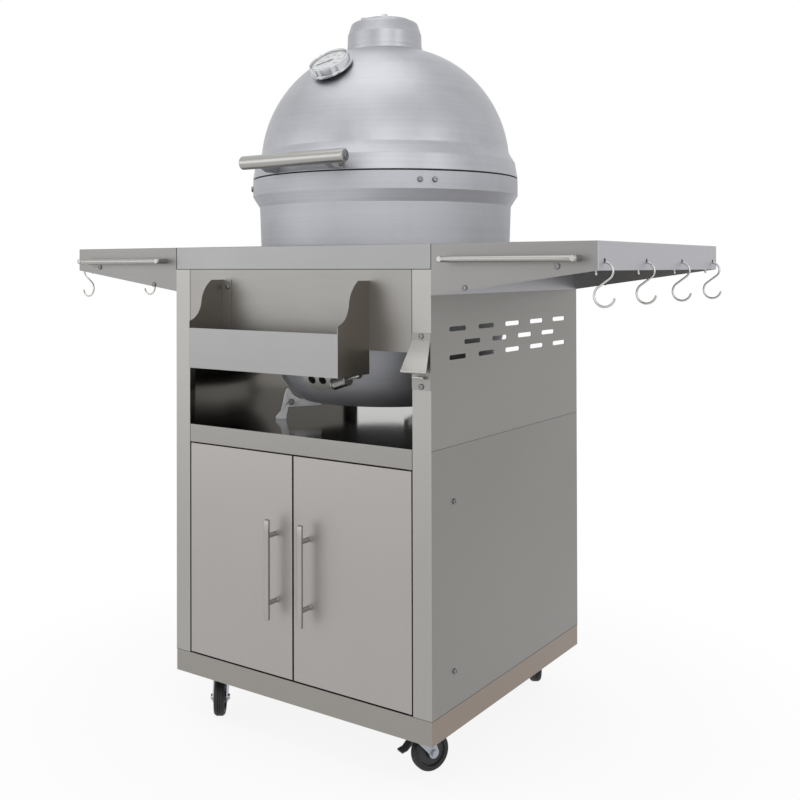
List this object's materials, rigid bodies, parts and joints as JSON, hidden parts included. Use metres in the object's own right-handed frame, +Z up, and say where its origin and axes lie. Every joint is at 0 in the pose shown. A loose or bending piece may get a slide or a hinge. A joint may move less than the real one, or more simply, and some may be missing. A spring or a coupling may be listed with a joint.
{
  "type": "kamado grill table",
  "caption": "Stainless cart on casters with side shelves, a double cupboard, a bottle rack and a cast aluminium kamado set in its counter.",
  "frame": {"origin": "on the floor under the middle of the outline, hooks and hinge included", "axes": "+Z up, the doors' side faces -Y, +X towards the bottle opener's side"},
  "size_m": [1.3114, 0.778, 1.5181],
  "materials": {
    "stainless": "brushed",
    "bright_steel": "polished",
    "cast_aluminium": "satin",
    "felt": "matte",
    "grate_iron": "matte",
    "black_rubber": "matte",
    "zinc": "satin",
    "black_paint": "satin",
    "white_plastic": "matte",
    "lens_glass": "clear"
  },
  "bodies": {
    "cart": {"back_panel": "stainless", "base_tray": "stainless", "bottle_opener": "stainless", "bottle_rack": "stainless", "bowl": "cast_aluminium", "bowl_gasket": "felt", "caster_plates": "zinc", "charcoal_grate": "grate_iron", "cooking_grate": "bright_steel", "counter_top": "stainless", "door_catches": "white_plastic", "door_hinge_pins": "bright_steel", "draft_frame": "cast_aluminium", "front_panel": "stainless", "hinge_bracket": "cast_aluminium", "hinge_pin": "bright_steel", "left_shelf": "stainless", "lower_left_panel": "stainless", "lower_right_panel": "stainless", "middle_shelf": "stainless", "right_shelf": "stainless", "screws": "bright_steel", "stand_feet": "cast_aluminium", "towel_rails": "bright_steel", "upper_left_panel": "stainless", "upper_right_panel": "stainless"},
    "lid": {"lid": "cast_aluminium", "lid_handle": "bright_steel", "handle_brackets": "cast_aluminium", "handle_bolts": "bright_steel", "lid_hinge_strap": "cast_aluminium", "thermometer_case": "bright_steel", "thermometer_lens": "lens_glass", "vent_cap": "cast_aluminium"},
    "vent_disc": {"vent_disc": "bright_steel"},
    "draft_disc": {"draft_disc": "bright_steel", "draft_grip": "bright_steel"},
    "thermometer_needle": {"thermometer_needle": "black_paint"},
    "left_door": {"left_door": "stainless", "left_door_handle": "bright_steel"},
    "right_door": {"right_door": "stainless", "right_door_handle": "bright_steel"},
    "fork_front_left": {"caster_fork_front_left": "zinc"},
    "wheel_front_left": {"caster_wheel_front_left": "black_rubber"},
    "fork_front_right": {"caster_fork_front_right": "zinc"},
    "wheel_front_right": {"caster_wheel_front_right": "black_rubber"},
    "fork_rear_left": {"caster_fork_rear_left": "zinc"},
    "wheel_rear_left": {"caster_wheel_rear_left": "black_rubber"},
    "fork_rear_right": {"caster_fork_rear_right": "zinc"},
    "wheel_rear_right": {"caster_wheel_rear_right": "black_rubber"},
    "brake_front_left": {"caster_brake_front_left": "black_paint"},
    "brake_front_right": {"caster_brake_front_right": "black_paint"},
    "hook_left_1": {"hook_left_1": "bright_steel"},
    "hook_left_2": {"hook_left_2": "bright_steel"},
    "hook_left_3": {"hook_left_3": "bright_steel"},
    "hook_left_4": {"hook_left_4": "bright_steel"},
    "hook_right_1": {"hook_right_1": "bright_steel"},
    "hook_right_2": {"hook_right_2": "bright_steel"},
    "hook_right_3": {"hook_right_3": "bright_steel"},
    "hook_right_4": {"hook_right_4": "bright_steel"}
  },
  "joints": [
    {"name": "lid_hinge", "type": "hinge", "parent": "cart", "child": "lid", "pos_m": [0, 0.374, 1.145], "axis": [-1, 0, 0], "range_deg": [0, 80]},
    {"name": "vent_disc_turn", "type": "hinge", "parent": "lid", "child": "vent_disc", "pos_m": [0, 0.041, 1.498], "axis": [0, 0, 1], "range_deg": [0, 60]},
    {"name": "draft_disc_turn", "type": "hinge", "parent": "cart", "child": "draft_disc", "pos_m": [0, -0.2105, 0.737], "axis": [0, -0.9272, -0.3746], "range_deg": [0, 45]},
    {"name": "thermometer_needle_turn", "type": "hinge", "parent": "lid", "child": "thermometer_needle", "pos_m": [0, -0.16592, 1.38112], "axis": [0, 0.6428, -0.766], "range_deg": [0, 236], "stiffness_Nm_per_rad": 0.002},
    {"name": "left_door_hinge", "type": "hinge", "parent": "cart", "child": "left_door", "pos_m": [-0.272, -0.284, 0.35925], "axis": [0, 0, -1], "range_deg": [0, 110]},
    {"name": "right_door_hinge", "type": "hinge", "parent": "cart", "child": "right_door", "pos_m": [0.272, -0.284, 0.35925], "axis": [0, 0, 1], "range_deg": [0, 110]},
    {"name": "swivel_front_left", "type": "hinge", "parent": "cart", "child": "fork_front_left", "pos_m": [-0.248, -0.225, 0.085], "axis": [0, 0, 1], "continuous": true},
    {"name": "roll_front_left", "type": "hinge", "parent": "fork_front_left", "child": "wheel_front_left", "pos_m": [-0.23154, -0.24765, 0.038], "axis": [0.809, 0.5878, 0], "continuous": true},
    {"name": "brake_front_left", "type": "hinge", "parent": "fork_front_left", "child": "brake_front_left", "pos_m": [-0.25329, -0.21772, 0.072], "axis": [-0.809, -0.5878, 0], "range_deg": [0, 12]},
    {"name": "swivel_front_right", "type": "hinge", "parent": "cart", "child": "fork_front_right", "pos_m": [0.248, -0.225, 0.085], "axis": [0, 0, 1], "continuous": true},
    {"name": "roll_front_right", "type": "hinge", "parent": "fork_front_right", "child": "wheel_front_right", "pos_m": [0.26027, -0.19983, 0.038], "axis": [-0.8988, 0.4384, 0], "continuous": true},
    {"name": "brake_front_right", "type": "hinge", "parent": "fork_front_right", "child": "brake_front_right", "pos_m": [0.24405, -0.23309, 0.072], "axis": [0.8988, -0.4384, 0], "range_deg": [0, 12]},
    {"name": "swivel_rear_left", "type": "hinge", "parent": "cart", "child": "fork_rear_left", "pos_m": [-0.248, 0.287, 0.085], "axis": [0, 0, 1], "continuous": true},
    {"name": "roll_rear_left", "type": "hinge", "parent": "fork_rear_left", "child": "wheel_rear_left", "pos_m": [-0.262, 0.26275, 0.038], "axis": [0.866, -0.5, 0], "continuous": true},
    {"name": "swivel_rear_right", "type": "hinge", "parent": "cart", "child": "fork_rear_right", "pos_m": [0.248, 0.287, 0.085], "axis": [0, 0, 1], "continuous": true},
    {"name": "roll_rear_right", "type": "hinge", "parent": "fork_rear_right", "child": "wheel_rear_right", "pos_m": [0.23154, 0.30965, 0.038], "axis": [-0.809, -0.5878, 0], "continuous": true},
    {"name": "swing_hook_left_1", "type": "hinge", "parent": "cart", "child": "hook_left_1", "pos_m": [-0.6364, -0.2615, 0.9607], "axis": [0, -1, 0], "range_deg": [-10, 12]},
    {"name": "swing_hook_left_2", "type": "hinge", "parent": "cart", "child": "hook_left_2", "pos_m": [-0.6364, -0.0665, 0.9607], "axis": [0, -1, 0], "range_deg": [-10, 12]},
    {"name": "swing_hook_left_3", "type": "hinge", "parent": "cart", "child": "hook_left_3", "pos_m": [-0.6364, 0.1285, 0.9607], "axis": [0, -1, 0], "range_deg": [-10, 12]},
    {"name": "swing_hook_left_4", "type": "hinge", "parent": "cart", "child": "hook_left_4", "pos_m": [-0.6364, 0.3235, 0.9607], "axis": [0, -1, 0], "range_deg": [-10, 12]},
    {"name": "swing_hook_right_1", "type": "hinge", "parent": "cart", "child": "hook_right_1", "pos_m": [0.6364, -0.2615, 0.9607], "axis": [0, 1, 0], "range_deg": [-10, 12]},
    {"name": "swing_hook_right_2", "type": "hinge", "parent": "cart", "child": "hook_right_2", "pos_m": [0.6364, -0.0665, 0.9607], "axis": [0, 1, 0], "range_deg": [-10, 12]},
    {"name": "swing_hook_right_3", "type": "hinge", "parent": "cart", "child": "hook_right_3", "pos_m": [0.6364, 0.1285, 0.9607], "axis": [0, 1, 0], "range_deg": [-10, 12]},
    {"name": "swing_hook_right_4", "type": "hinge", "parent": "cart", "child": "hook_right_4", "pos_m": [0.6364, 0.3235, 0.9607], "axis": [0, 1, 0], "range_deg": [-10, 12]}
  ]
}
